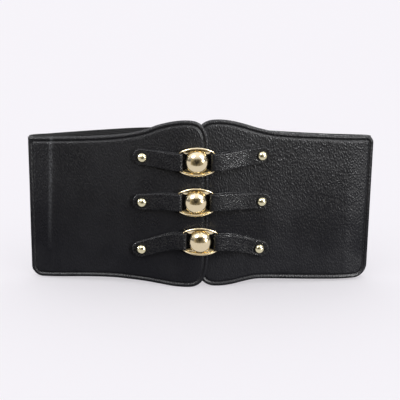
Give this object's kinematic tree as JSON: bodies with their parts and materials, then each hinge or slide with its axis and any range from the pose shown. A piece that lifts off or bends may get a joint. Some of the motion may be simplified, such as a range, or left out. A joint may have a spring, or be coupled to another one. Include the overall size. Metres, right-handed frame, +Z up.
{
  "type": "wide elastic waist belt",
  "caption": "Wide waist belt: shaped black leather front panels with gold dome clasps on riveted straps, elastic back, fastened in a loop.",
  "frame": {"origin": "bottom centre of the belt's bounding box", "axes": "+X along the front to the viewer's right, +Y to the back of the loop, +Z up"},
  "size_m": [0.334, 0.0954, 0.1672],
  "materials": {
    "panel_leather": "pebble-grained black faux leather, satin",
    "strap_leather": "pebble-grained black faux leather, satin",
    "elastic": "woven black ribbed elastic",
    "clasp_metal": "polished pale gold plating",
    "stud_metal": "polished pale gold plating"
  },
  "bodies": {
    "root": {"clasp_dome_bottom": "clasp_metal", "clasp_dome_middle": "clasp_metal", "clasp_dome_top": "clasp_metal", "clasp_frame_bottom": "clasp_metal", "clasp_frame_middle": "clasp_metal", "clasp_frame_top": "clasp_metal", "elastic_back": "elastic", "left_panel": "panel_leather", "right_panel": "panel_leather", "strap_left_bottom": "strap_leather", "strap_left_middle": "strap_leather", "strap_left_top": "strap_leather", "strap_right_bottom": "strap_leather", "strap_right_middle": "strap_leather", "strap_right_top": "strap_leather", "stud_left_bottom": "stud_metal", "stud_left_middle": "stud_metal", "stud_left_top": "stud_metal", "stud_right_bottom": "stud_metal", "stud_right_middle": "stud_metal", "stud_right_top": "stud_metal"}
  },
  "joints": []
}
